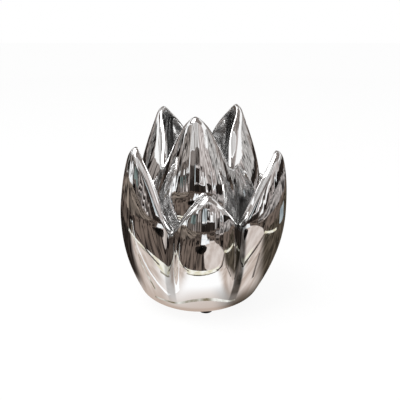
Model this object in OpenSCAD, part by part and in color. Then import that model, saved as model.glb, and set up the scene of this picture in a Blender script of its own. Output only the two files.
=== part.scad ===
// Lotus tealight holder: plated ceramic petals on a round dish, with a nested crown and stick-on feet.
// Heights are measured up from the standing face of the ceramic. The front faces -Y and +X is to the right.

/* [Feet] */
// Radius of a rubber foot
pad_r = 4.75; // [4:0.25:6]
// Thickness of a rubber foot
pad_t = 1.9; // [1.5:0.1:3]
// Thickness of the sticky tape between a foot and the ceramic
tape_t = 0.3; // [0.2:0.05:0.5]
// Turn of the three feet, in degrees from the front
pad_turn = 11; // [0:1:20]
// Distance from a foot to the edge of the standing face
pad_inset = 0.65; // [0.4:0.05:1.5]

/* [Base dish] */
// Radius of the flat standing face
base_r = 30; // [28:0.5:32]
// Height of the dish, where the outer petals begin
dish_h = 10.4; // [9.5:0.2:12]
// Radius of the top edge of the dish, at the middle of the wall
dish_top_r = 41.9; // [40.9:0.5:43.9]
// Thickness of the floor
floor_t = 5.5; // [4:0.5:6]

/* [Outer petals] */
// Wall of the outer petals
outer_wall = 5.4; // [4.6:0.2:6]
// Turn of the whole outer ring, in degrees
ring_turn = 3; // [0:1:6]
// Half of the angle that a low petal takes up
low_half = 26.5; // [24:0.5:30]
// Height of the notches between the petals
notch_h = 70.3; // [67:0.5:73]
// Radius of the bare creases at the notches, at the middle of the wall
notch_r = 47.4; // [46.5:0.2:50]
// How far the glaze fills the creases between the petals
glaze_fill = 2.3; // [1.5:0.1:3]
// Height of the tip of a low petal
low_tip_h = 89; // [86:0.5:94]
// How far the tip of a low petal lies outside the notches
low_tip_out = 6; // [5:0.1:8]
// Height of the widest part of a low petal
low_belly_h = 48.5; // [44.5:1:56.5]
// How far the widest part of a low petal lies outside the notches
low_belly_out = 13.8; // [11.8:0.5:15.8]
// Height of the tip of a mid petal
mid_tip_h = 119; // [112:0.5:124]
// How far the tip of a mid petal lies outside the notches
mid_tip_out = 8; // [6:0.2:11]
// Height of the widest part of a mid petal
mid_belly_h = 76; // [70:1:82]
// How far the widest part of a mid petal lies outside the notches
mid_belly_out = 13.5; // [11:0.1:16]

/* [Hand-made differences] */
// Extra height of the tip of the front low petal
front_tip_rise = 6; // [0:0.5:8]
// Extra height of the tip of the left mid petal
left_tip_rise = 3.6; // [0:0.4:4.8]
// Rise of the widest part of the left mid petal
left_belly_rise = 2.6; // [0:0.2:5]
// Drop of the widest part of the right mid petal
right_belly_drop = 1.4; // [0:0.2:5]
// Drop of the notch at the front left
left_notch_drop = 1.8; // [0:0.2:3]
// Rise of the notch at the front right
right_notch_rise = 2; // [0:0.2:3]
// How far the outer petals lean to the right for each mm of height
ring_lean = 0.033; // [0:0.003:0.045]
// Extra height of the tip of the right crown petal
crown_right_rise = 2; // [0:0.5:4]

/* [Crown] */
// Wall of the crown petals
crown_wall = 5.2; // [4.4:0.2:6]
// Turn of the crown, in degrees
crown_turn = -3.4; // [-6:0.2:0]
// Shift of the crown to the left of the dish
crown_shift = 0.7; // [0:0.1:1.2]
// Room between the crown and the notches of the outer ring, before the shift
crown_room = 0.6; // [0.4:0.1:2]
// Height of the tips of the crown
crown_tip_h = 143; // [136:1:150]
// Radius of the tips of the crown
crown_tip_r = 31; // [29:0.2:34]
// Height of the notches of the crown
crown_notch_h = 105; // [100:1:110]
// Radius of the notches of the crown, at the middle of the wall
crown_notch_r = 25.9; // [25:0.1:27]

/* [Candle cup] */
// Radius of the seat for a tealight
seat_r = 20; // [19.6:0.1:20.6]
// Depth of the seat
seat_depth = 7; // [5:0.5:8]
// Thickness of the cup under the seat
seat_floor_t = 8.5; // [6:0.5:9]
// Height of the cup above the seat, up to the crown petals
cup_lip = 9; // [7:0.5:10]

/* [Hidden] */
$fn = 96;
silver = [0.78, 0.78, 0.8];
black = [0.08, 0.08, 0.08];
tape_grey = [0.6, 0.6, 0.6];

stand_h = pad_t + tape_t;
pad_chamfer = 0.4;
pad_ring_r = base_r - pad_r - pad_inset;

// The ring repeats every 120 degrees with a mid petal between two low ones.
repeat_turn = 120;
mid_half = repeat_turn / 2 - low_half;
crown_half = repeat_turn / 2;
low_tip_r = notch_r + low_tip_out;
low_belly_r = notch_r + low_belly_out;
mid_tip_r = notch_r + mid_tip_out;
mid_belly_r = notch_r + mid_belly_out;
left_notch_h = notch_h - left_notch_drop;
right_notch_h = notch_h + right_notch_rise;

// The dish stands this far to the left, so that the leaning ring is widest over the middle.
stand_left = ring_lean * (mid_belly_h - dish_h);

// How far a wall runs outwards for each mm of height
dish_flare = 0.56;
low_tip_lean = -0.47;
mid_tip_lean = -0.37;
crown_foot_flare = 0.15;
crown_waist_flare = 0.42;
crown_tip_lean = -0.34;

// A valley between two lobes: slope at the notch, and the slope that it loses on each span above it
valley_span = 10;
ring_valley_slope = -0.105;
low_valley_fall = 0.092;
mid_valley_fall = 0.211;
crown_valley_flare = 0.25;
crown_valley_slope = -0.4;
crown_valley_fall = 0.135;

// Roundness of a lobe across its width: more fullness gives a wider valley, and more ease a rounder one
low_fullness = 0.73;
low_ease = 0.19;
mid_fullness = 0.56;
mid_ease = 0.08;
crown_foot_fullness = 0.7;
crown_tip_fullness = 1.7;
crown_ease = 0.03;
full_from_h = 70;
full_to_h = 118;
notch_ease = 0.05;

// The glaze fills the creases of the ring, and rounds this share of half a petal into the valley.
ring_valley_r = notch_r + glaze_fill;
low_valley_share = 0.2;
mid_valley_share = 0.09;
crown_valley_share = 0.08;
slope_step = 0.001;

// How far the curves of the dish and the cup follow the slope at their ends
base_lead_out = 4.6;
base_lead_up = 2.4;
dish_outer_rise = 5;
dish_inner_rise = 2.5;
floor_lead_out = 3;
cup_foot_lead_out = 3;
cup_foot_lead_up = 4;
cup_lip_rise = 8;
base_lead = [base_lead_out, base_lead_up];
dish_outer_lead = dish_outer_rise * [dish_flare, 1];
dish_inner_lead = dish_inner_rise * [dish_flare, 1];
floor_lead = [floor_lead_out, 0];
cup_foot_lead = [cup_foot_lead_out, cup_foot_lead_up];
cup_lip_lead = cup_lip_rise * [crown_foot_flare, 1];

floor_ledge = 2;
floor_r = base_r + floor_ledge;
cup_foot_r = 24;
cup_foot_h = 2;
seat_shelf = 2;
seat_wall_slope = 1.4;
seat_z = floor_t + seat_floor_t;
shelf_z = seat_z + seat_depth;
crown_foot_z = shelf_z + cup_lip;
crown_foot_r = seat_r + seat_shelf + seat_wall_slope + crown_wall / 2;
crown_waist_r = notch_r - outer_wall / 2 - crown_wall / 2 - crown_room;

// Grid of a petal: columns across, rows up the wall, rows round the rim
ring_columns = 16;
crown_columns = 24;
wall_rows = 16;
rim_rows = 4;
rim_land = 0.2;
rim_reach = 0.8;
tip_round = 0.06;
tip_power = 1.25;
column_pull = 0.12;
curve_steps = 8;

// Smooth curve from (z0, r0) to (z1, r1) with the given slopes at its ends
function smooth_r(z, z0, r0, slope0, z1, r1, slope1) =
    let (u = (z - z0) / (z1 - z0), len = z1 - z0)
    (2 * u^3 - 3 * u^2 + 1) * r0
    + (u^3 - 2 * u^2 + u) * len * slope0
    + (3 * u^2 - 2 * u^3) * r1
    + (u^3 - u^2) * len * slope1;

// Points of a curve from a to d that leaves towards b and arrives from c
function bezier(a, b, c, d) = [
    for (k = [0 : curve_steps])
    let (u = k / curve_steps)
    (1 - u)^3 * a + 3 * (1 - u)^2 * u * b + 3 * (1 - u) * u^2 * c + u^3 * d
];

// Share of the drop from tip to notch at t, which runs from -1 at the left edge to 1 at the right edge
function rim_drop(t) =
    (pow(t^2 + tip_round^2, tip_power / 2) - pow(tip_round, tip_power))
    / (pow(1 + tip_round^2, tip_power / 2) - pow(tip_round, tip_power));

// A share from 0 to 1 that leaves 0 softly
function eased(share, ease) = (norm([share, ease]) - ease) / (norm([1, ease]) - ease);

// Two triangles for the four corners of one grid cell, given clockwise from outside
function cell(a, b, c, d) = [[a, b, c], [a, c, d]];

// One petal with its middle at the given turn. foot, belly and tip are [height, radius, slope] of its middle
// line; valley_foot and valley are the same for its edges; notches are the heights at its two edges. fullness
// holds a value for the lower part and one for the tip.
module petal_shell(turn, half, wall, columns, fullness, ease, valley_share, foot, belly, tip, valley_foot,
        valley, valley_fall, notches, lean) {
    rows = wall_rows + rim_rows;
    rim_run = wall * rim_reach;

    function middle_r(z) = z < belly[0]
        ? smooth_r(z, foot[0], foot[1], foot[2], belly[0], belly[1], belly[2])
        : smooth_r(z, belly[0], belly[1], belly[2], tip[0], tip[1], tip[2]);
    function above(z) = z - valley[0];
    function valley_r(z) = z < valley[0]
        ? smooth_r(z, valley_foot[0], valley_foot[1], valley_foot[2], valley[0], valley[1], valley[2])
        : valley[1] + valley[2] * above(z) - valley_fall * above(z)^2 / valley_span;
    function rise(z) =
        let (u = max(0, min(1, (z - full_from_h) / (full_to_h - full_from_h)))) u^2 * (3 - 2 * u);
    function power(z) = fullness[0] + (fullness[1] - fullness[0]) * rise(z);
    soft_t = 1 - valley_share;
    function plain_lobe(t, p) = eased(pow(max(0, cos(90 * t)), p), ease);
    function soft_slope(p) =
        (plain_lobe(soft_t - slope_step, p) - plain_lobe(soft_t + slope_step, p)) / (2 * slope_step);
    function soft_floor(p) = plain_lobe(soft_t, p) - soft_slope(p) * valley_share / 2;
    function soft_lobe(t, p) = t < soft_t
        ? plain_lobe(t, p)
        : soft_floor(p) + soft_slope(p) * (1 - t)^2 / (2 * valley_share);
    function lobe(t, p) = (soft_lobe(abs(t), p) - soft_floor(p)) / (1 - soft_floor(p));
    function wall_r(t, z) = valley_r(z) + (middle_r(z) - valley_r(z)) * lobe(t, power(z));
    function notch_z(t) = t < 0 ? notches[0] : notches[1];
    function rim_z(t) =
        notch_z(t) + (tip[0] - notch_z(t)) * eased(max(0, 1 - rim_drop(t)), notch_ease);

    // Height and half thickness of row j in the column at t
    function row_z(t, j) = j <= wall_rows
        ? foot[0] + (rim_z(t) - rim_run - foot[0]) * j / wall_rows
        : rim_z(t) - rim_run * (1 - sin(90 * (j - wall_rows) / rim_rows));
    function row_w(j) = j <= wall_rows
        ? wall / 2
        : max(rim_land, wall / 2 * cos(90 * (j - wall_rows) / rim_rows));
    function spot(t, j, side) =
        let (z = row_z(t, j), r = wall_r(t, z) + side * row_w(j), a = turn + t * half)
        [r * sin(a) + lean * (z - foot[0]), -r * cos(a), z];

    // Columns lie closer together at the middle and at the edges, where a lobe bends most
    function column_t(i) = let (u = 2 * i / columns - 1) u - column_pull * sin(360 * u);

    points = [
        for (side = [1, -1])
        for (j = [0 : rows])
        for (i = [0 : columns])
        spot(column_t(i), j, side)
    ];
    function outer(i, j) = j * (columns + 1) + i;
    function inner(i, j) = (rows + 1) * (columns + 1) + outer(i, j);

    faces = concat(
        [for (i = [0 : columns - 1]) for (j = [0 : rows - 1])
            each cell(outer(i, j), outer(i, j + 1), outer(i + 1, j + 1), outer(i + 1, j))],
        [for (i = [0 : columns - 1]) for (j = [0 : rows - 1])
            each cell(inner(i, j), inner(i + 1, j), inner(i + 1, j + 1), inner(i, j + 1))],
        [for (i = [0 : columns - 1])
            each cell(outer(i, rows), inner(i, rows), inner(i + 1, rows), outer(i + 1, rows))],
        [for (i = [0 : columns - 1])
            each cell(outer(i, 0), outer(i + 1, 0), inner(i + 1, 0), inner(i, 0))],
        [for (j = [0 : rows - 1])
            each cell(inner(0, j), inner(0, j + 1), outer(0, j + 1), outer(0, j))],
        [for (j = [0 : rows - 1])
            each cell(outer(columns, j), outer(columns, j + 1), inner(columns, j + 1), inner(columns, j))]
    );
    polyhedron(points, faces);
}

// An outer petal: its lower half is a stave of the bowl, closed against its neighbours along the creases
module ring_petal(turn, half, fullness, ease, valley_share, belly, tip, valley_fall, notches) {
    color(silver)
        translate([-stand_left, 0, stand_h])
            petal_shell(ring_turn + turn, half, outer_wall, ring_columns, fullness, ease, valley_share,
                [dish_h, dish_top_r, dish_flare], belly, tip,
                [dish_h, dish_top_r, dish_flare], [notch_h, ring_valley_r, ring_valley_slope],
                valley_fall, notches, ring_lean);
}

module low_petal(turn, rise, notches) {
    ring_petal(turn, low_half, [low_fullness, low_fullness], low_ease, low_valley_share,
        [low_belly_h, low_belly_r, 0],
        [low_tip_h + rise, low_tip_r, low_tip_lean],
        low_valley_fall, notches);
}

module mid_petal(turn, rise, belly_rise, notches) {
    ring_petal(turn, mid_half, [mid_fullness, mid_fullness], mid_ease, mid_valley_share,
        [mid_belly_h + belly_rise, mid_belly_r, 0],
        [mid_tip_h + rise, mid_tip_r, mid_tip_lean],
        mid_valley_fall, notches);
}

module in_crown() {
    translate([-stand_left - crown_shift, 0, stand_h])
        children();
}

module crown_petal(turn, rise) {
    color(silver)
        in_crown()
            petal_shell(crown_turn + turn, crown_half, crown_wall, crown_columns,
                [crown_foot_fullness, crown_tip_fullness], crown_ease, crown_valley_share,
                [crown_foot_z, crown_foot_r, crown_foot_flare],
                [notch_h, crown_waist_r, crown_waist_flare],
                [crown_tip_h + rise, crown_tip_r, crown_tip_lean],
                [crown_foot_z, crown_foot_r, crown_valley_flare],
                [crown_notch_h, crown_notch_r, crown_valley_slope],
                crown_valley_fall, [crown_notch_h, crown_notch_h], 0);
}

module at_pad(turn) {
    translate([-stand_left, 0, 0])
        rotate([0, 0, pad_turn + turn])
            translate([0, -pad_ring_r, 0])
                children();
}

module foot_pad(turn) {
    color(black)
        at_pad(turn)
            rotate_extrude()
                polygon([[0, 0], [pad_r - pad_chamfer, 0], [pad_r, pad_chamfer], [pad_r, pad_t], [0, pad_t]]);
}

module foot_tape(turn) {
    color(tape_grey)
        at_pad(turn)
            translate([0, 0, pad_t])
                cylinder(r = pad_r - pad_chamfer, h = tape_t);
}

// Round dish that the petals stand on, with the flat standing face below
module base_dish() {
    rim_out = [dish_top_r + outer_wall / 2, dish_h];
    rim_in = [dish_top_r - outer_wall / 2, dish_h];
    base_edge = [base_r, 0];
    floor_edge = [floor_r, floor_t];
    color(silver)
        translate([-stand_left, 0, stand_h])
            rotate_extrude()
                polygon(concat(
                    [[0, 0]],
                    bezier(base_edge, base_edge + base_lead, rim_out - dish_outer_lead, rim_out),
                    bezier(rim_in, rim_in - dish_inner_lead, floor_edge + floor_lead, floor_edge),
                    [[0, floor_t]]));
}

// Round cup that carries the crown petals, with a seat for a tealight
module candle_cup() {
    lip_out = [crown_foot_r + crown_wall / 2, crown_foot_z];
    lip_in = [crown_foot_r - crown_wall / 2, crown_foot_z];
    foot_edge = [cup_foot_r, floor_t + cup_foot_h];
    color(silver)
        in_crown()
            rotate_extrude()
                polygon(concat(
                    [[0, floor_t], [cup_foot_r, floor_t]],
                    bezier(foot_edge, foot_edge + cup_foot_lead, lip_out - cup_lip_lead, lip_out),
                    [lip_in, [seat_r + seat_shelf, shelf_z], [seat_r, shelf_z],
                        [seat_r, seat_z], [0, seat_z]]));
}

module low_petal_front() low_petal(0, front_tip_rise, [left_notch_h, right_notch_h]);
module low_petal_back_right() low_petal(repeat_turn, 0, [notch_h, notch_h]);
module low_petal_back_left() low_petal(-repeat_turn, 0, [notch_h, notch_h]);
module mid_petal_right() mid_petal(repeat_turn / 2, 0, -right_belly_drop, [right_notch_h, notch_h]);
module mid_petal_back() mid_petal(repeat_turn * 1.5, 0, 0, [notch_h, notch_h]);
module mid_petal_left() mid_petal(-repeat_turn / 2, left_tip_rise, left_belly_rise, [notch_h, left_notch_h]);
module crown_petal_front() crown_petal(0, 0);
module crown_petal_right() crown_petal(repeat_turn, crown_right_rise);
module crown_petal_left() crown_petal(-repeat_turn, 0);
module foot_pad_front() foot_pad(0);
module foot_pad_right() foot_pad(repeat_turn);
module foot_pad_left() foot_pad(-repeat_turn);
module foot_tape_front() foot_tape(0);
module foot_tape_right() foot_tape(repeat_turn);
module foot_tape_left() foot_tape(-repeat_turn);

base_dish();
low_petal_front();
low_petal_back_right();
low_petal_back_left();
mid_petal_right();
mid_petal_back();
mid_petal_left();
candle_cup();
crown_petal_front();
crown_petal_right();
crown_petal_left();
foot_pad_front();
foot_pad_right();
foot_pad_left();
foot_tape_front();
foot_tape_right();
foot_tape_left();
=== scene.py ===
# Lotus tealight holder: mirror-plated ceramic petals on a round dish, with a nested crown and rubber feet.
import math

import bpy
from mathutils import Matrix, Vector


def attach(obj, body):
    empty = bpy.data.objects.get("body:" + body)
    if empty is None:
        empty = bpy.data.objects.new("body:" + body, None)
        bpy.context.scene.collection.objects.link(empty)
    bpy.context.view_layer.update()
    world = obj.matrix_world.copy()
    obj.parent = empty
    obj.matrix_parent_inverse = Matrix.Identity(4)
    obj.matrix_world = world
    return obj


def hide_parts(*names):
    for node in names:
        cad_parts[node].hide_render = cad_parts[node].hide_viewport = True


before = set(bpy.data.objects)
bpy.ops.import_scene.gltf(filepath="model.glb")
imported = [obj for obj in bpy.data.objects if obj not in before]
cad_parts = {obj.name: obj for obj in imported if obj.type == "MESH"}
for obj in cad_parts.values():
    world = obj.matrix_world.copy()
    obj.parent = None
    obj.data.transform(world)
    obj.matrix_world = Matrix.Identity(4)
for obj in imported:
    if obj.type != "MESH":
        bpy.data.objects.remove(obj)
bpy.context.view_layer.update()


# Rubber feet
# Three black bumpers, moulded in one piece with a soft lower edge and a shallow dimple underneath.
# They are stuck under the standing face, so that the plated glaze can't scratch the table.
pad_radius = 0.00475
pad_height = 0.0019
pad_ring = 0.0246
pad_turn = 11
third_turn = 120
stand_left = 0.002165


def linear(hex_colour):
    """A hex colour as the linear RGBA that nodes take."""
    channels = [int(hex_colour[i:i + 2], 16) / 255 for i in (1, 3, 5)]
    return [c / 12.92 if c <= 0.04045 else ((c + 0.055) / 1.055) ** 2.4 for c in channels] + [1]


def add_node(material, kind, settings=None, **inputs):
    """A new shader node. Inputs go by name, or by number as in _0, and take a value or an output."""
    node = material.node_tree.nodes.new("ShaderNode" + kind)
    for name, value in (settings or {}).items():
        setattr(node, name, value)
    for name, value in inputs.items():
        socket = node.inputs[int(name[1:])] if name[1:].isdigit() else node.inputs[name.replace("_", " ")]
        if isinstance(value, bpy.types.NodeSocket):
            material.node_tree.links.new(value, socket)
        else:
            socket.default_value = value
    return node


def new_material(name):
    material = bpy.data.materials.new(name)
    material.use_nodes = True
    return material, material.node_tree.nodes["Principled BSDF"]


def join(material, output, socket):
    material.node_tree.links.new(output, socket)


# Moulded rubber: almost black, with a dull skin and a fine grain that scuffs a little paler.
rubber, shader = new_material("moulded_rubber")
place = add_node(rubber, "TexCoord").outputs["Object"]
grain = add_node(rubber, "TexNoise", Vector=place, Scale=1 / 0.0004, Detail=3.0)
scuff = add_node(rubber, "TexNoise", Vector=place, Scale=1 / 0.003, Detail=4.0)
tone = add_node(rubber, "Mix", {"data_type": "RGBA"}, _0=scuff.outputs["Fac"],
                _6=linear("#0C0C0C"), _7=linear("#1C1B1A"))
dull = add_node(rubber, "MapRange", Value=scuff.outputs["Fac"], _3=0.55, _4=0.8)
skin = add_node(rubber, "Bump", Height=grain.outputs["Fac"], Distance=0.00005, Strength=0.6)
join(rubber, tone.outputs[2], shader.inputs["Base Color"])
join(rubber, dull.outputs[0], shader.inputs["Roughness"])
join(rubber, skin.outputs[0], shader.inputs["Normal"])
shader.inputs["IOR"].default_value = 1.52


def start_piece():
    if bpy.context.mode != "OBJECT":
        bpy.ops.object.mode_set(mode="OBJECT")
    bpy.ops.object.select_all(action="DESELECT")


def finish_piece(name, material):
    piece = bpy.context.active_object
    piece.name = name
    piece.data.name = name
    piece.data.materials.clear()
    piece.data.materials.append(material)
    return piece


start_piece()
bpy.ops.mesh.primitive_cylinder_add(vertices=72, radius=pad_radius, depth=pad_height,
                                    location=(0, 0, pad_height / 2))
bpy.ops.object.transform_apply(location=True)
bpy.ops.object.mode_set(mode="EDIT")
bpy.ops.mesh.select_mode(type="EDGE")
bpy.ops.mesh.select_all(action="DESELECT")
bpy.ops.object.mode_set(mode="OBJECT")
pad = bpy.context.active_object
for edge in pad.data.edges:
    edge.select = all(pad.data.vertices[i].co.z < 0.0001 for i in edge.vertices)
bpy.ops.object.mode_set(mode="EDIT")
bpy.ops.mesh.bevel(offset=0.0006, segments=5, affect="EDGES")
bpy.ops.mesh.select_mode(type="FACE")
bpy.ops.mesh.select_all(action="DESELECT")
bpy.ops.object.mode_set(mode="OBJECT")
for face in pad.data.polygons:
    face.select = face.normal.z < -0.9 and face.center.z < 0.00005 and len(face.vertices) > 8
bpy.ops.object.mode_set(mode="EDIT")
bpy.ops.mesh.inset(thickness=0.0014)
bpy.ops.mesh.inset(thickness=0.0007, depth=-0.00025)
bpy.ops.mesh.inset(thickness=0.0012, depth=-0.0001)
bpy.ops.object.mode_set(mode="OBJECT")
bpy.ops.object.shade_smooth_by_angle(angle=math.radians(35))
pad = finish_piece("rubber_foot_front", rubber)
pad.data.transform(Matrix.Translation((0, -pad_ring, 0)))
pads = [pad]
for side in ("right", "left"):
    other = pad.copy()
    other.data = pad.data.copy()
    other.name = "rubber_foot_" + side
    bpy.context.collection.objects.link(other)
    pads.append(other)
for pad, side, turn in zip(pads, ("front", "right", "left"), (0, third_turn, -third_turn)):
    pad.data.transform(Matrix.Rotation(math.radians(pad_turn + turn), 4, "Z"))
    pad.data.transform(Matrix.Translation((-stand_left, 0, 0)))
    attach(pad, "root")
    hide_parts("foot_pad_" + side)


# Sticky tape
# A thin round of foam tape with glue on both faces, die cut a little smaller than the foot.
# It fills the gap between each rubber foot and the standing face, so the CAD solid is right as it is.
# Foam tape: pale grey and matt, with fine closed cells.
tape, shader = new_material("foam_tape")
place = add_node(tape, "TexCoord").outputs["Object"]
cells = add_node(tape, "TexVoronoi", Vector=place, Scale=1 / 0.0003)
tone = add_node(tape, "Mix", {"data_type": "RGBA"}, _0=cells.outputs["Distance"],
                _6=linear("#8E8C88"), _7=linear("#B5B3AE"))
skin = add_node(tape, "Bump", Height=cells.outputs["Distance"], Distance=0.00003, Strength=0.5)
join(tape, tone.outputs[2], shader.inputs["Base Color"])
join(tape, skin.outputs[0], shader.inputs["Normal"])
shader.inputs["Roughness"].default_value = 0.8
for side in ("front", "right", "left"):
    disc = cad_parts["foot_tape_" + side]
    disc.data.materials.clear()
    disc.data.materials.append(tape)


# Base dish
# The round foot of the holder, slip-cast in stoneware with a flat standing face and a floor inside.
# Its flared wall carries the six outer petals, and the glaze over the joint is plated with the rest.
standing_height = 0.0022
base_radius = 0.030
dish_height = 0.0104
dish_radius = 0.0419
dish_flare = 0.56
floor_height = 0.0055
floor_radius = 0.032
outer_wall = 0.0054
wobble_from = 0.004
wobble_rise = 0.012
wobble_size = 0.00006

# Silver plate on glaze: a bright, neutral mirror. The brushed-on glaze under it leaves fine runs, stronger
# towards the tips, and a faint orange peel. Handling leaves hazy smudges, and the inside is duller than the
# outside. The colour is darkened with painted shade in the creases and on the inside.
silver, shader = new_material("silver_plated_glaze")
place = add_node(silver, "TexCoord").outputs["Object"]
grain = add_node(silver, "Attribute", {"attribute_name": "grain"}).outputs["Vector"]
along = add_node(silver, "Mapping", Vector=grain, Scale=(1 / 0.0023, 1 / 0.06, 1))
runs = add_node(silver, "TexNoise", Vector=along.outputs[0], Scale=1.0, Detail=0.5)
peel = add_node(silver, "TexNoise", Vector=place, Scale=1 / 0.0022, Detail=1.0)
smudge = add_node(silver, "TexNoise", Vector=place, Scale=1 / 0.014, Detail=4.0)
haze = add_node(silver, "MapRange", Value=smudge.outputs["Fac"], _1=0.45, _2=0.75, _3=0.03, _4=0.09)
# Painted shade: the plate's colour goes dark olive in patches in the creases and on the inside.
crease_shade = add_node(silver, "Attribute", {"attribute_name": "crease_shade"}).outputs["Fac"]
shade_patches = add_node(silver, "MapRange", Value=smudge.outputs["Fac"], _1=0.3, _2=0.6, _3=0.75, _4=1.0)
patchy_shade = add_node(silver, "Math", {"operation": "MULTIPLY"}, _0=crease_shade, _1=shade_patches.outputs[0])
tone = add_node(silver, "Mix", {"data_type": "RGBA"}, _0=patchy_shade.outputs[0],
                _6=linear("#F8F8F8"), _7=linear("#22241F"))
tipward = add_node(silver, "Attribute", {"attribute_name": "tipward"}).outputs["Fac"]
run_skin = add_node(silver, "Bump", Height=runs.outputs["Fac"], Distance=0.00045, Strength=tipward)
peel_skin = add_node(silver, "Bump", Height=peel.outputs["Fac"], Distance=0.00001, Strength=0.5,
                     Normal=run_skin.outputs[0])
inner = add_node(silver, "Attribute", {"attribute_name": "inner"}).outputs["Fac"]
dull = add_node(silver, "Math", {"operation": "MULTIPLY_ADD"}, _0=inner, _1=0.07, _2=haze.outputs[0])
join(silver, tone.outputs[2], shader.inputs["Base Color"])
join(silver, dull.outputs[0], shader.inputs["Roughness"])
join(silver, peel_skin.outputs[0], shader.inputs["Normal"])
shader.inputs["Metallic"].default_value = 1.0


def hand_wobble(x, y, z):
    """How far smoothing by hand moved the wall outwards at this place: always below zero, so inwards."""
    wave = (math.sin(x / 0.0051 + 1.3 * math.sin(z / 0.014)) + math.sin(y / 0.0057 + z / 0.0081)
            + math.sin(z / 0.0063 + 1.1 * math.sin(x / 0.012)))
    fade = min(1, max(0, (z - wobble_from) / wobble_rise))
    return wobble_size * (wave / 3 - 3.7) * fade


def wobble_piece(piece):
    """Give a piece the unevenness of hand smoothing."""
    for vertex in piece.data.vertices:
        radius = math.hypot(vertex.co.x, vertex.co.y)
        if radius > 0.001:
            shift = 1 + hand_wobble(*vertex.co) / radius
            vertex.co.x *= shift
            vertex.co.y *= shift


def curve(start, leave, arrive, end, steps):
    """Points on a Bezier curve from start to end, for a turned profile."""
    points = []
    for k in range(steps + 1):
        u = k / steps
        weights = ((1 - u) ** 3, 3 * u * (1 - u) ** 2, 3 * u * u * (1 - u), u ** 3)
        points.append([sum(w * p[i] for w, p in zip(weights, (start, leave, arrive, end))) for i in (0, 1)])
    return points


def turned_piece(profile, centre_x):
    """A round piece, turned up ring by ring from (radius, height) pairs as on a wheel, then closed."""
    start_piece()
    radius, height = profile[0]
    bpy.ops.mesh.primitive_circle_add(vertices=180, radius=radius, location=(centre_x, 0, height))
    bpy.ops.object.transform_apply(location=True)
    bpy.ops.object.mode_set(mode="EDIT")
    bpy.ops.mesh.select_mode(type="EDGE")
    bpy.ops.mesh.select_all(action="SELECT")
    for next_radius, next_height in profile[1:]:
        bpy.ops.mesh.extrude_edges_move(TRANSFORM_OT_translate={"value": (0, 0, next_height - height)})
        spread = next_radius / radius
        bpy.ops.transform.resize(value=(spread, spread, 1), center_override=(centre_x, 0, next_height))
        radius, height = next_radius, next_height
    bpy.ops.mesh.select_all(action="SELECT")
    bpy.ops.mesh.fill_holes(sides=0)
    bpy.ops.mesh.normals_make_consistent(inside=False)
    bpy.ops.object.mode_set(mode="OBJECT")
    bpy.ops.object.shade_smooth_by_angle(angle=math.radians(32))


rim_out = (dish_radius + outer_wall / 2, dish_height)
rim_in = (dish_radius - outer_wall / 2, dish_height)
dish_profile = curve((base_radius, 0), (base_radius + 0.0046, 0.0024),
                     (rim_out[0] - 0.005 * dish_flare, rim_out[1] - 0.005), rim_out, 28)
dish_profile += curve(rim_in, (rim_in[0] - 0.0025 * dish_flare, rim_in[1] - 0.0025),
                      (floor_radius + 0.003, floor_height), (floor_radius, floor_height), 16)
turned_piece([(r, z + standing_height) for r, z in dish_profile], -stand_left)
dish = finish_piece("plated_dish", silver)
wobble_piece(dish)
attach(dish, "root")
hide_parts("base_dish")


# Outer petals
# Six hand-built ceramic petals, three low and three tall, luted edge to edge into a bowl on the dish.
# Each is a thick curved slab with a rounded rim; glaze fills the creases between them to soft valleys.
notch_height = 70.3
notch_radius = 47.4
ring_lean = 0.033
left_notch = 68.5
right_notch = 72.3
low_half = 26.5
tall_half = 33.5
ring_turn = 3
tip_round = 0.06
tip_power = 1.25
full_from = 70
full_to = 118
low_belly = (48.5, notch_radius + 13.8, 0)
low_tip_radius = notch_radius + 6
low_tip_lean = -0.47
tall_belly_radius = notch_radius + 13.5
tall_tip_radius = notch_radius + 8
tall_tip_lean = -0.37


def smooth_radius(z, low, high):
    """Radius at height z on the smooth curve between two [height, radius, slope] points."""
    run = high[0] - low[0]
    u = (z - low[0]) / run
    return ((2 * u ** 3 - 3 * u ** 2 + 1) * low[1] + (u ** 3 - 2 * u ** 2 + u) * run * low[2]
            + (3 * u ** 2 - 2 * u ** 3) * high[1] + (u ** 3 - u ** 2) * run * high[2])


def eased(share, ease):
    """A share from 0 to 1 that leaves 0 softly."""
    return (math.hypot(share, ease) - ease) / (math.hypot(1, ease) - ease)


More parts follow.
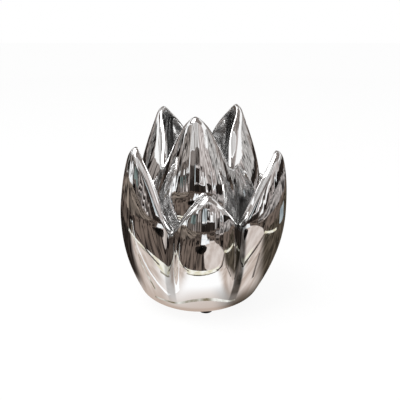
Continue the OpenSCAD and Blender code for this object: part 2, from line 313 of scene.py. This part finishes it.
def petal(name, node, turn, half, wall, fullness, valley_ease, valley_width, foot, belly, tip, valley_foot,
          valley, fall, notches, crease_shades, inside, streaks, shift=0.0, lean=0.0):
    """One petal, bent from a flat grid: up the outside, over the rim and down the inside.

    Sizes are in mm. foot, belly and tip are [height, radius, slope] points of the middle line, and
    valley_foot and valley those of the side edges. The crease pair and inside say how much painted shade
    darkens the plate in the left and right crease and on the inside, and streaks between which heights the
    glaze runs come in.
    """
    columns, outer_rows, rim_rows, inner_rows = 112, 72, 24, 44
    rows = outer_rows + rim_rows + inner_rows
    rim_run = wall * 0.8
    gather = 0.12
    fade_rows = 4
    # Reach and fade of the painted crease shade from each edge, and its rise from the foot.
    shade_reach, shade_fade, shade_rise = 0.0048, 0.0018, 11
    marks = {"crease_shade": "FLOAT", "tipward": "FLOAT", "inner": "FLOAT", "grain": "FLOAT_VECTOR"}
    full_drop = (1 + tip_round ** 2) ** (tip_power / 2) - tip_round ** tip_power

    def plain_lobe(t, power):
        return eased(max(0, math.cos(math.pi / 2 * t)) ** power, valley_ease)

    def lobe(t, z):
        """Share of the way out from the valley to the middle line; the glaze rounds the last stretch."""
        rise = min(1, max(0, (z - full_from) / (full_to - full_from)))
        power = fullness[0] + (fullness[1] - fullness[0]) * rise ** 2 * (3 - 2 * rise)
        soft_from = 1 - valley_width
        soft_slope = (plain_lobe(soft_from - 0.001, power) - plain_lobe(soft_from + 0.001, power)) / 0.002
        soft_floor = plain_lobe(soft_from, power) - soft_slope * valley_width / 2
        share = plain_lobe(t, power)
        if t > soft_from:
            share = soft_floor + soft_slope * (1 - t) ** 2 / (2 * valley_width)
        return (share - soft_floor) / (1 - soft_floor)

    def wall_radius(t, z):
        middle = smooth_radius(z, foot, belly) if z < belly[0] else smooth_radius(z, belly, tip)
        if z < valley[0]:
            edge = smooth_radius(z, valley_foot, valley)
        else:
            edge = valley[1] + valley[2] * (z - valley[0]) - fall * (z - valley[0]) ** 2
        return edge + (middle - edge) * lobe(abs(t), z)

    def rim_height(t):
        drop = ((t * t + tip_round ** 2) ** (tip_power / 2) - tip_round ** tip_power) / full_drop
        notch = notches[0] if t < 0 else notches[1]
        return notch + (tip[0] - notch) * eased(1 - drop, 0.05)

    start_piece()
    bpy.ops.mesh.primitive_grid_add(x_subdivisions=columns, y_subdivisions=rows, size=2)
    piece = bpy.context.active_object
    for mark, kind in marks.items():
        piece.data.attributes.new(mark, kind, "POINT")
    crease_share, tip_share, inner_share, run_place = (piece.data.attributes[mark] for mark in marks)
    half_run = math.radians(half) * belly[1] * 0.001
    for vertex in piece.data.vertices:
        u, v = vertex.co.x, vertex.co.y
        t = u - gather * math.sin(2 * math.pi * u)
        row = (v + 1) / 2 * rows
        rim = rim_height(t)
        if row <= outer_rows:
            z = foot[0] + (rim - rim_run - foot[0]) * row / outer_rows
            offset = wall / 2
        elif row <= outer_rows + rim_rows:
            angle = math.pi * (row - outer_rows) / rim_rows
            z = rim - rim_run * (1 - math.sin(angle))
            offset = wall / 2 * math.cos(angle)
        else:
            z = foot[0] + (rim - rim_run - foot[0]) * (rows - row) / inner_rows
            offset = -wall / 2
        r = wall_radius(t, z) + offset
        a = math.radians(turn + t * half)
        # Painted shade: the plate darkens outside near each crease, growing over the lowest stretch from
        # the foot, and evenly on the inside faces.
        joint_near = min(1, max(0, (shade_reach - (1 - abs(t)) * half_run) / shade_fade))
        faces_in = 1 if row > outer_rows + rim_rows else 0
        foot_fade = min(1, (z - foot[0]) / shade_rise) * (1 - faces_in)
        crease_shade_share = crease_shades[t > 0] * joint_near ** 2 * (3 - 2 * joint_near) * foot_fade
        inner_share.data[vertex.index].value = faces_in
        crease_share.data[vertex.index].value = max(crease_shade_share, inside * faces_in)
        brushed = min(1, max(0, (outer_rows - row) / fade_rows)) * (1 - 0.7 * t * t)
        tip_near = min(1, max(0, (z - streaks[0]) / (streaks[1] - streaks[0])))
        tip_share.data[vertex.index].value = brushed * (0.05 + 0.85 * tip_near)
        run_place.data[vertex.index].vector = (t * half_run, z * 0.001, turn)
        x = r * math.sin(a) + shift + lean * (z - foot[0])
        vertex.co = (x * 0.001, -r * math.cos(a) * 0.001, z * 0.001 + standing_height)
    bpy.ops.object.mode_set(mode="EDIT")
    bpy.ops.mesh.select_mode(type="EDGE")
    bpy.ops.mesh.select_all(action="DESELECT")
    bpy.ops.object.mode_set(mode="OBJECT")
    bottom = foot[0] * 0.001 + standing_height + 1e-6
    for edge in piece.data.edges:
        edge.select = all(piece.data.vertices[i].co.z < bottom for i in edge.vertices)
    bpy.ops.object.mode_set(mode="EDIT")
    bpy.ops.mesh.bridge_edge_loops()
    bpy.ops.mesh.select_all(action="SELECT")
    bpy.ops.mesh.fill_holes(sides=0)
    bpy.ops.mesh.normals_make_consistent(inside=False)
    bpy.ops.object.mode_set(mode="OBJECT")
    bpy.ops.object.shade_smooth_by_angle(angle=math.radians(40))
    piece = finish_piece(name, silver)
    wobble_piece(piece)
    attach(piece, "root")
    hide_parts(node)


ring_foot = (dish_height * 1000, dish_radius * 1000, dish_flare)
ring_valley = (notch_height, notch_radius + 2.3, -0.105)
# The last pair in each row gives the painted crease shade at the left and right edge; the crease right of
# the front petal is darkest.
for side, turn, tip_height, notches, crease_shades in (
        ("front", 0, 95, (left_notch, right_notch), (0.45, 1.0)),
        ("back_right", third_turn, 89, (notch_height, notch_height), (0.5, 0.6)),
        ("back_left", -third_turn, 89, (notch_height, notch_height), (0.6, 0.5))):
    petal("low_petal_plated_" + side, "low_petal_" + side, turn=ring_turn + turn, half=low_half,
          wall=outer_wall * 1000, fullness=(0.73, 0.73), valley_ease=0.19, valley_width=0.2,
          foot=ring_foot, belly=low_belly, tip=(tip_height, low_tip_radius, low_tip_lean),
          valley_foot=ring_foot, valley=ring_valley, fall=0.0092, notches=notches, crease_shades=crease_shades,
          inside=0.05, streaks=(58, 84), shift=-stand_left * 1000, lean=ring_lean)
# The last pair in each row gives the painted crease shade at the left and right edge.
for side, turn, belly_height, tip_height, notches, crease_shades in (
        ("right", 60, 74.6, 119, (right_notch, notch_height), (1.0, 0.45)),
        ("back", 180, 76, 119, (notch_height, notch_height), (0.6, 0.6)),
        ("left", -60, 78.6, 122.6, (notch_height, left_notch), (0.45, 0.45))):
    petal("tall_petal_plated_" + side, "mid_petal_" + side, turn=ring_turn + turn, half=tall_half,
          wall=outer_wall * 1000, fullness=(0.56, 0.56), valley_ease=0.08, valley_width=0.09,
          foot=ring_foot, belly=(belly_height, tall_belly_radius, 0),
          tip=(tip_height, tall_tip_radius, tall_tip_lean),
          valley_foot=ring_foot, valley=ring_valley, fall=0.0211, notches=notches, crease_shades=crease_shades,
          inside=0.05, streaks=(63, tip_height), shift=-stand_left * 1000, lean=ring_lean)


# Candle cup
# A round cup, thrown on the wheel and stood inside the dish, with a stepped seat for a tealight.
# The crown petals are luted onto its lip, and the plate runs down into it.
cup_shift = -0.002865
cup_foot_radius = 0.024
shelf_radius = 0.0217
seat_radius = 0.020
seat_height = 0.014
shelf_height = 0.021
lip_height = 0.030
lip_radius = 0.026
crown_wall = 0.0052
lip_out = (lip_radius + crown_wall / 2, lip_height)
lip_in = (lip_radius - crown_wall / 2, lip_height)
cup_foot = (cup_foot_radius, floor_height + 0.002)
cup_profile = [(cup_foot_radius - 0.0006, floor_height), (cup_foot_radius - 0.0002, floor_height + 0.0002),
               (cup_foot_radius, floor_height + 0.0006)]
cup_profile += curve(cup_foot, (cup_foot[0] + 0.003, cup_foot[1] + 0.004),
                     (lip_out[0] - 0.0012, lip_out[1] - 0.008), lip_out, 24)
cup_profile += [lip_in, (lip_in[0] - 0.0007, 0.0256), (shelf_radius + 0.0004, shelf_height + 0.0004),
                (shelf_radius, shelf_height), (seat_radius + 0.0004, shelf_height),
                (seat_radius + 0.0001, shelf_height - 0.0002), (seat_radius, shelf_height - 0.0006),
                (seat_radius, seat_height + 0.0005),
                (seat_radius - 0.0002, seat_height + 0.0001), (seat_radius - 0.0006, seat_height),
                (0.012, seat_height), (0.004, seat_height)]
turned_piece([(r, z + standing_height) for r, z in cup_profile], cup_shift)
cup = finish_piece("plated_candle_cup", silver)
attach(cup, "root")
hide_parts("candle_cup")


# Crown petals
# Three tall petals that close in round the flame, luted side by side onto the lip of the cup.
# They stand a little to the left of the dish, as they were set by hand, clear of the outer ring.
crown_turn = -3.4
crown_foot = (lip_height * 1000, lip_radius * 1000, 0.15)
crown_waist = (notch_height, 41.5, 0.42)
crown_edge_foot = (lip_height * 1000, lip_radius * 1000, 0.25)
crown_notch_height = 105
crown_notch = (crown_notch_height, 25.9, -0.4)
crown_tip_radius = 31
crown_tip_lean = -0.34
# The crown's creases and its inside carry painted shade as well.
for side, turn, tip_height in (("front", 0, 143), ("right", third_turn, 145), ("left", -third_turn, 143)):
    petal("crown_petal_plated_" + side, "crown_petal_" + side, turn=crown_turn + turn, half=third_turn / 2,
          wall=crown_wall * 1000, fullness=(0.7, 1.7), valley_ease=0.03, valley_width=0.08,
          foot=crown_foot, belly=crown_waist, tip=(tip_height, crown_tip_radius, crown_tip_lean),
          valley_foot=crown_edge_foot, valley=crown_notch, fall=0.0135,
          notches=(crown_notch_height, crown_notch_height), crease_shades=(0.3, 0.3), inside=0.3,
          streaks=(50, 115), shift=cup_shift * 1000)


# Floor and backdrop
# A plain white floor under a plain white room. Straight looks and mirror looks both see them as white,
# and the floor keeps a share of plain diffuse white, so that the soft shadow of the holder stays on it.
floor_glow = 0.9
room_light = 0.8


def background_rays(owner):
    """1 for a straight look, a mirror look or a look through glass, and 0 for all other light."""
    kind = add_node(owner, "LightPath")
    rays = kind.outputs["Is Camera Ray"]
    for other in ("Is Glossy Ray", "Is Transmission Ray"):
        both = add_node(owner, "Math", {"operation": "ADD", "use_clamp": True},
                        _0=rays, _1=kind.outputs[other])
        rays = both.outputs[0]
    return rays


white, shader = new_material("white_floor")
shader.inputs["Base Color"].default_value = linear("#FFFFFF")
shader.inputs["Roughness"].default_value = 0.9
glow = add_node(white, "Emission", Color=linear("#FFFFFF"), Strength=1.0)
share = add_node(white, "Math", {"operation": "MULTIPLY"}, _0=background_rays(white), _1=floor_glow)
both = add_node(white, "MixShader", _0=share.outputs[0], _1=shader.outputs[0], _2=glow.outputs[0])
join(white, both.outputs[0], white.node_tree.nodes["Material Output"].inputs["Surface"])
start_piece()
bpy.ops.mesh.primitive_plane_add(size=8)
floor = bpy.context.active_object
floor.name = "studio_floor"
floor.data.materials.append(white)

world = bpy.data.worlds.new("white_room")
world.use_nodes = True
bpy.context.scene.world = world
background = world.node_tree.nodes["Background"]
background.inputs["Color"].default_value = (1, 1, 1, 1)
level = add_node(world, "MapRange", Value=background_rays(world), _3=room_light, _4=1.0)
join(world, level.outputs[0], background.inputs["Strength"])

bpy.ops.object.light_add(type="AREA", location=(-0.35, -0.3, 0.9))
lamp = bpy.context.active_object
lamp.name = "soft_box"
lamp.data.shape = "SQUARE"
lamp.data.size = 0.6
lamp.data.energy = 6
lamp.rotation_euler = (Vector((0, 0, 0.06)) - lamp.location).to_track_quat("-Z", "Y").to_euler()


# Reflection cards
# Glowing cards, painted as boards and felt, stood round the set, out of shot, for the mirror plate to
# reflect: a brown table top with a pale board on it, and a dark room with bright windows in front. Their
# glow is painted light and shade that stands in for a lit room, and only mirror reflections see them.
def card_finish(name, dark, pale, streak=(1 / 0.05, 1 / 0.05, 1 / 0.05), strength=0.94):
    """An even glow, clouded between two tones. streak is the cloud's fineness along each axis."""
    finish = bpy.data.materials.new(name)
    finish.use_nodes = True
    finish.node_tree.nodes.clear()
    place = add_node(finish, "TexCoord").outputs["Object"]
    spread = add_node(finish, "Mapping", Vector=place, Scale=streak)
    cloud = add_node(finish, "TexNoise", Vector=spread.outputs[0], Scale=1.0, Detail=3.0)
    even = add_node(finish, "MapRange", Value=cloud.outputs["Fac"], _1=0.38, _2=0.62)
    tone = add_node(finish, "Mix", {"data_type": "RGBA"}, _0=even.outputs[0],
                    _6=linear(dark), _7=linear(pale))
    glow = add_node(finish, "Emission", Color=tone.outputs[2], Strength=strength)
    end = add_node(finish, "OutputMaterial")
    join(finish, glow.outputs[0], end.inputs["Surface"])
    return finish


def around(finish):
    """Angle from straight ahead and distance from the holder, for patterns that run round it."""
    place = add_node(finish, "TexCoord").outputs["Object"]
    spot = add_node(finish, "SeparateXYZ", Vector=place)
    ahead = add_node(finish, "Math", {"operation": "MULTIPLY"}, _0=spot.outputs["Y"], _1=-1.0)
    aside = add_node(finish, "Math", {"operation": "ARCTAN2"}, _0=spot.outputs["X"], _1=ahead.outputs[0])
    reach = add_node(finish, "VectorMath", {"operation": "LENGTH"}, _0=place)
    return aside.outputs[0], reach.outputs["Value"], spot


def set_card(name, finish):
    """Finish the active card, and hide it from all but mirror reflections."""
    card = bpy.context.active_object
    card.name = name
    bpy.ops.object.transform_apply(location=True, rotation=True, scale=True)
    card.data.materials.append(finish)
    card.visible_camera = False
    card.visible_diffuse = False
    card.visible_shadow = False
    card.visible_transmission = False
    card.visible_volume_scatter = False


def floor_card(name, finish, x, y, width, depth, height, turn=0, round_card=False):
    """A level card at the given height, on the floor or overhead."""
    start_piece()
    spot = (x, y, height)
    if round_card:
        bpy.ops.mesh.primitive_circle_add(vertices=96, radius=0.5, fill_type="NGON", location=spot)
    else:
        bpy.ops.mesh.primitive_plane_add(size=1, location=spot)
    bpy.context.active_object.scale = (width, depth, 1)
    bpy.context.active_object.rotation_euler = (0, 0, math.radians(turn))
    set_card(name, finish)


def wall_card(name, finish, azimuth, width, low, high, distance=1.3):
    """A board that spans the given degrees of azimuth and elevation, seen from the holder."""
    start_piece()
    a = math.radians(azimuth)
    foot, top = (distance * math.tan(math.radians(e)) + 0.08 for e in (low, high))
    bpy.ops.mesh.primitive_plane_add(
        size=1, location=(distance * math.sin(a), -distance * math.cos(a), (foot + top) / 2))
    bpy.context.active_object.rotation_euler = (math.pi / 2, 0, a)
    bpy.context.active_object.scale = (2 * distance * math.tan(math.radians(width / 2)), top - foot, 1)
    set_card(name, finish)


upright = (1 / 0.13, 1 / 0.13, 1 / 1.2)
flat = (1 / 0.07, 1 / 0.07, 1)
brown_wood = card_finish("brown_wood", "#0D0B0A", "#7A6C63", (1 / 0.13, 1 / 0.22, 1))
brown_wood.node_tree.nodes["Noise Texture"].inputs["Distortion"].default_value = 1.4
aside, reach, spot = around(brown_wood)
spokes = add_node(brown_wood, "CombineXYZ", X=aside, Y=reach)
join(brown_wood, spokes.outputs[0], brown_wood.node_tree.nodes["Mapping"].inputs["Vector"])
pale_board = card_finish("pale_board", "#C9BBB3", "#E4DAD4", flat)
bright_edge = card_finish("bright_edge", "#DDD7BE", "#FFFFFA", (1 / 0.04, 1 / 0.04, 1), 1.05)
dark_edge = card_finish("dark_edge", "#4A4335", "#E9E2D2", flat)
base_line = card_finish("base_line", "#8A806A", "#FFFFFA", (1 / 0.018, 1 / 0.018, 1))
white_card = card_finish("white_card", "#DDE3E8", "#FFFFFF", flat, 1.05)
dark_felt = card_finish("dark_felt", "#0A0908", "#332C28", upright)
brown_shelf = card_finish("brown_shelf", "#181514", "#857B75", upright)
far_shelf = card_finish("far_shelf", "#171414", "#CBC4C1", (1 / 0.5, 1 / 0.1, 1))
far_cloth = card_finish("far_cloth", "#0B0909", "#A39589", (1 / 0.5, 1 / 0.1, 1))
taupe_felt = card_finish("taupe_felt", "#332D2A", "#B3AAA5", upright)
grey_board = card_finish("grey_board", "#5F5D5B", "#D5D2D0", upright)
beige_wall = card_finish("beige_wall", "#7A726D", "#CFC8C3", upright)
pale_wall = card_finish("pale_wall", "#8E8380", "#F4EDEA", upright)
high_wall = card_finish("high_wall", "#8F8884", "#FFFFFF", upright)
window_light = card_finish("window_light", "#E4E8EA", "#FFFFFF", upright, 1.15)
blue_panel = card_finish("blue_panel", "#8F9BA1", "#D3DBDE", upright)
teal_glass = card_finish("teal_glass", "#232B2A", "#8FA09D", upright)

# The board that the holder stands on is pale pink, and lit white in front of it. Close to the holder a
# painted shadow of it makes it beige, turning brown to the right, and it is dark behind the holder on both
# sides.
near_board = card_finish("near_board", "#B7A79C", "#DBD0C9", (1 / 0.05, 1 / 0.015, 1), 1.06)
glow = near_board.node_tree.nodes["Emission"]
paper = glow.inputs["Color"].links[0].from_socket
cloud = paper.node.inputs[0].links[0].from_socket
aside, reach, spot = around(near_board)
soft = {"interpolation_type": "SMOOTHSTEP"}
fan_left = add_node(near_board, "MapRange", soft, Value=aside, _1=-0.95, _2=-0.4)
fan_right = add_node(near_board, "MapRange", soft, Value=aside, _1=0.45, _2=0.75, _3=1.0, _4=0.0)
fan = add_node(near_board, "Math", {"operation": "MULTIPLY"},
               _0=fan_left.outputs[0], _1=fan_right.outputs[0])
lit = add_node(near_board, "Mix", {"data_type": "RGBA"}, _0=fan.outputs[0], _6=paper, _7=linear("#FFFFFF"))
# Painted shadow of the holder on the board: beige close to it, dark brown to its right.
right = add_node(near_board, "MapRange", soft, Value=spot.outputs["X"], _1=0.008, _2=0.03)
holder_shadow_tone = add_node(near_board, "Mix", {"data_type": "RGBA"}, _0=right.outputs[0],
                     _6=linear("#BBA99D"), _7=linear("#453C31"))
shade = add_node(near_board, "MapRange", soft, Value=reach, _1=0.038, _2=0.066)
tone = add_node(near_board, "Mix", {"data_type": "RGBA"}, _0=shade.outputs[0], _6=holder_shadow_tone.outputs[2],
                _7=lit.outputs[2])
slant = add_node(near_board, "Math", {"operation": "MULTIPLY_ADD"}, _0=spot.outputs["Y"], _1=0.94,
                 _2=spot.outputs["X"])
behind = add_node(near_board, "MapRange", soft, Value=slant.outputs[0], _1=0.025, _2=0.08)
dark_tone = add_node(near_board, "Mix", {"data_type": "RGBA"}, _0=cloud,
                     _6=linear("#2A261F"), _7=linear("#5C5348"))
tone = add_node(near_board, "Mix", {"data_type": "RGBA"}, _0=behind.outputs[0], _6=tone.outputs[2],
                _7=dark_tone.outputs[2])
left = add_node(near_board, "MapRange", soft, Value=spot.outputs["X"], _1=-0.042, _2=-0.075)
back = add_node(near_board, "MapRange", soft, Value=spot.outputs["Y"], _1=-0.02, _2=0.01)
corner = add_node(near_board, "Math", {"operation": "MULTIPLY"}, _0=left.outputs[0], _1=back.outputs[0])
deep_tone = add_node(near_board, "Mix", {"data_type": "RGBA"}, _0=cloud,
                     _6=linear("#0D0B0A"), _7=linear("#3A322D"))
tone = add_node(near_board, "Mix", {"data_type": "RGBA"}, _0=corner.outputs[0], _6=tone.outputs[2],
                _7=deep_tone.outputs[2])
join(near_board, tone.outputs[2], glow.inputs["Color"])

floor_card("table_top", brown_wood, 0, 0, 3.4, 3.4, 0.0002, round_card=True)
floor_card("pale_front", pale_board, 0.09, -0.255, 0.2, 0.38, 0.0004, turn=-8, round_card=True)
floor_card("pale_right", pale_board, 0.42, -0.30, 0.22, 0.14, 0.0004, turn=35)
floor_card("dark_round", dark_felt, -0.06, -0.30, 0.19, 0.10, 0.0006, turn=-10, round_card=True)
floor_card("white_far", white_card, -0.01, -0.62, 0.17, 0.5, 0.0006)
floor_card("dark_right", brown_shelf, 0.36, -0.44, 0.12, 0.3, 0.0006, turn=35)
board_x, board_y, board_radius = 0.04, 0.12, 0.262
floor_card("round_board", near_board, board_x, board_y, 2 * board_radius, 2 * board_radius, 0.0008,
           round_card=True)
floor_card("left_far", far_cloth, -0.95, -0.35, 1.2, 1.3, 0.0006)
floor_card("right_far", far_shelf, 0.98, -0.05, 1.2, 1.3, 0.0006)
floor_card("left_line", window_light, -0.15, -0.042, 0.23, 0.004, 0.0018, turn=-3)
floor_card("left_seam_two", brown_shelf, -0.13, -0.082, 0.13, 0.007, 0.0018, turn=-14)
floor_card("left_seam", base_line, -0.16, -0.028, 0.22, 0.004, 0.0018, turn=-3)
floor_card("right_patch", blue_panel, 0.235, 0.09, 0.08, 0.08, 0.0018)
floor_card("right_line", bright_edge, 0.18, -0.05, 0.012, 0.12, 0.0018, turn=-6)
floor_card("right_seam", brown_shelf, 0.085, -0.048, 0.055, 0.005, 0.0018, turn=-38)
floor_card("right_seam_two", brown_shelf, 0.11, -0.108, 0.1, 0.012, 0.0018, turn=5)
# Narrow arcs edge that board. The bright one is wide round its middle and thin at its ends.
arc_height = 0.0014
wide_angle, wide_half, wide_fade = -10, 28, 14
for name, finish, x, y, radius, width, end_width, left_end, right_end in (
        ("board_edge", bright_edge, board_x, board_y, board_radius, 0.034, 0.007, -66, 14),
        ("board_line", dark_edge, board_x, board_y, board_radius - 0.034, 0.006, 0.006, -28, 10),
        ("board_line_left", dark_edge, board_x, board_y, board_radius - 0.008, 0.005, 0.005, -66, -30),
        ("near_line", base_line, -stand_left, 0, 0.0496, 0.0016, 0.0016, -60, 45)):
    start_piece()
    bpy.ops.mesh.primitive_circle_add(vertices=360, radius=radius, location=(x, y, arc_height))
    bpy.ops.object.mode_set(mode="EDIT")
    bpy.ops.mesh.extrude_edges_move()
    bpy.ops.transform.resize(value=(0.5, 0.5, 1), center_override=(x, y, arc_height))
    bpy.ops.mesh.select_all(action="DESELECT")
    bpy.ops.object.mode_set(mode="OBJECT")
    for vertex in bpy.context.active_object.data.vertices:
        angle = math.degrees(math.atan2(vertex.co.x, -vertex.co.y))
        vertex.select = not left_end < angle < right_end
        if vertex.co.length < radius * 0.75:
            middle = min(1, max(0, (wide_half - abs(angle - wide_angle)) / wide_fade))
            inner_radius = radius - end_width - (width - end_width) * middle ** 2 * (3 - 2 * middle)
            vertex.co *= inner_radius / vertex.co.length
    bpy.ops.object.mode_set(mode="EDIT")
    bpy.ops.mesh.delete(type="VERT")
    bpy.ops.object.mode_set(mode="OBJECT")
    set_card(name, finish)

# Four boards overhead leave a small white opening, which draws a thin bright line along each rim.
floor_card("ceiling_front", taupe_felt, 0, -0.72, 2.6, 1.22, 1.5)
floor_card("ceiling_right", taupe_felt, 0.83, 0.05, 0.95, 0.5, 1.5)
floor_card("ceiling_left", taupe_felt, -0.83, 0.05, 0.95, 0.5, 1.5)
floor_card("ceiling_back", taupe_felt, 0, 0.82, 2.4, 1.36, 1.5)

for name, finish, azimuth, width, low, high, distance in (
        ("high_left", grey_board, -62, 34, 32, 48, 1.75),
        ("high_right", taupe_felt, 62, 34, 32, 48, 1.75),
        ("high_far_left", taupe_felt, -94, 30, 34, 48, 1.75),
        ("high_far_right", taupe_felt, 94, 30, 34, 48, 1.75),
        ("upper_left", beige_wall, -58, 44, 12, 30, 1.6),
        ("far_left", grey_board, -104, 50, 8, 18, 1.6),
        ("upper_middle", taupe_felt, 2, 60, 16, 28, 1.6),
        ("upper_middle_top", high_wall, 0, 90, 28, 46, 1.6),
        ("upper_right", pale_wall, 44, 40, 12, 36, 1.58),
        ("far_right", grey_board, 92, 62, -4, 21, 1.58),
        ("back_left", brown_shelf, -148, 60, -4, 16, 1.6),
        ("back_right", brown_shelf, 150, 60, -4, 16, 1.6),
        ("back_right_mid", taupe_felt, 134, 26, 3, 22, 1.55),
        ("back_left_mid", taupe_felt, -134, 26, 3, 22, 1.55),
        ("back_light_right", window_light, 163, 12, -3, 26, 1.45),
        ("back_light_left", window_light, -163, 12, -3, 26, 1.45),
        ("back_high", high_wall, 180, 110, 16, 50, 1.7),
        ("back_post", taupe_felt, 180, 9, -4, 34, 1.5),
        ("back_post_left", taupe_felt, -128, 6, 3, 44, 1.5),
        ("back_post_right", taupe_felt, 126, 6, 2, 44, 1.5),
        ("back_left_low", dark_felt, -135, 62, -4, 3, 1.55),
        ("back_right_low", dark_felt, 135, 50, -4, 2, 1.55),
        ("left_grey", grey_board, -96, 48, -4, 17, 1.5),
        ("left_blotch", taupe_felt, -92, 26, 7, 18, 1.45),
        ("left_pale", window_light, -84, 18, -4, 7, 1.42),
        ("left_post", dark_felt, -64, 7, -4, 24, 1.38),
        ("left_post_two", dark_felt, -78, 5, 2, 26, 1.37),
        ("left_post_three", dark_felt, -104, 8, -2, 24, 1.37),
        ("left_brown", brown_shelf, -36, 56, -4, 20, 1.5),
        ("left_teal", teal_glass, -49, 13, 2, 11, 1.36),
        ("left_window", window_light, -37, 10, 13, 21, 1.36),
        ("left_bar", pale_wall, -42, 2.5, -4, 9, 1.34),
        ("left_bar_two", pale_wall, -34, 2.5, -3, 11, 1.34),
        ("left_bar_three", pale_wall, -25, 3.5, 5, 16, 1.34),
        ("middle_post", dark_felt, -12, 6, -4, 21, 1.36),
        ("front_panel", blue_panel, -3, 12, 6, 20, 1.34),
        ("front_dark", dark_felt, 9, 13, 4, 19, 1.36),
        ("front_frame", pale_wall, 20, 5, 5, 21, 1.3),
        ("front_frame_top", pale_wall, 12, 9, 17.5, 19, 1.31),
        ("front_sill", pale_wall, 14, 14, 5, 6.5, 1.29),
        ("front_low", dark_felt, 8, 46, -4, 4.5, 1.4),
        ("right_post", brown_shelf, 30, 7, -4, 18, 1.36),
        ("right_pink", pale_wall, 58, 38, -4, 22, 1.5),
        ("right_slat", dark_felt, 44, 7, -4, 6, 1.34),
        ("right_slat_two", window_light, 60, 3, 0, 14, 1.34),
        ("right_slat_three", taupe_felt, 50, 5, -4, 12, 1.34),
        ("right_dark", dark_felt, 86, 56, -4, 5, 1.36)):
    wall_card(name, finish, azimuth, width, low, high, distance)


# Camera
# A portrait lens a little above the holder, looking down on it and square to its front.
# Light that is caught between the mirror walls has many bounces left, or it would end as specks.
mirror_bounces = 80
camera_data = bpy.data.cameras.new("camera")
camera = bpy.data.objects.new("camera", camera_data)
bpy.context.collection.objects.link(camera)
camera.location = (-0.0017, -0.43732, 0.21190)
camera.rotation_euler = (math.radians(73), 0, 0)
camera_data.lens = 55.62
camera_data.clip_start = 0.01
bpy.context.scene.camera = camera
bpy.context.scene.view_settings.view_transform = "Standard"
bpy.context.scene.cycles.max_bounces = mirror_bounces
bpy.context.scene.cycles.glossy_bounces = mirror_bounces
bpy.context.scene.cycles.min_light_bounces = mirror_bounces
